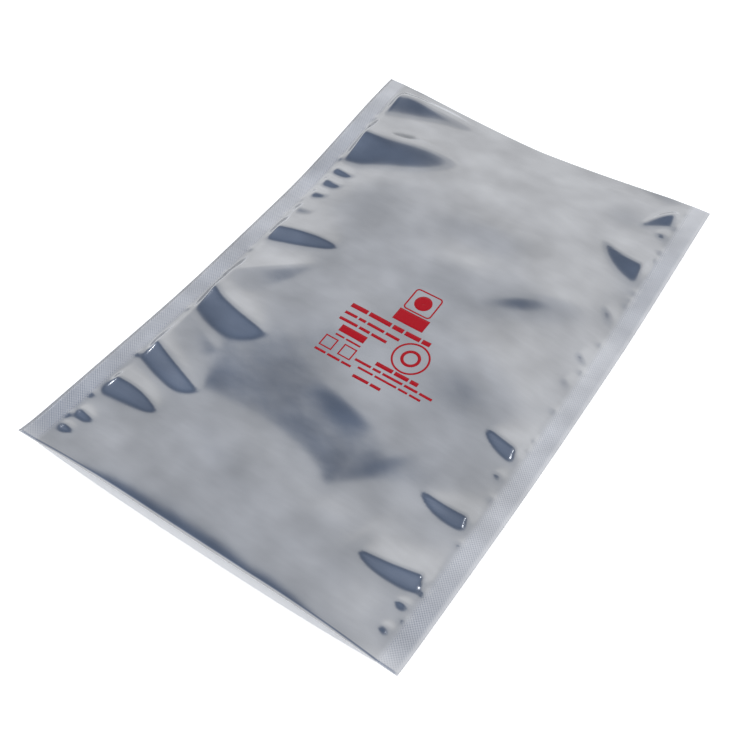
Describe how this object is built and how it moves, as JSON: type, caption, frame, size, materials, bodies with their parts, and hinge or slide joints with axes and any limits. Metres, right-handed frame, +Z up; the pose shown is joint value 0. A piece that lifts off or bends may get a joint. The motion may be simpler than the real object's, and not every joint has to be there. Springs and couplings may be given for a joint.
{
  "type": "anti static shielding bag",
  "caption": "Flat pouch of silver-grey metallised film, folded at one end, heat sealed along both long edges and open at the other end, lying slightly puffed with puckers along its seals.",
  "frame": {"origin": "on the table, under the centre of the bag's bounding box", "axes": "+Y from the open mouth to the folded end, +X across the bag, +Z up from the table"},
  "size_m": [0.2044, 0.305, 0.0155],
  "materials": {
    "metallised_film": "smooth metallised plastic film, soft mirror"
  },
  "bodies": {
    "root": {"shielding_bag": "metallised_film"}
  },
  "joints": []
}
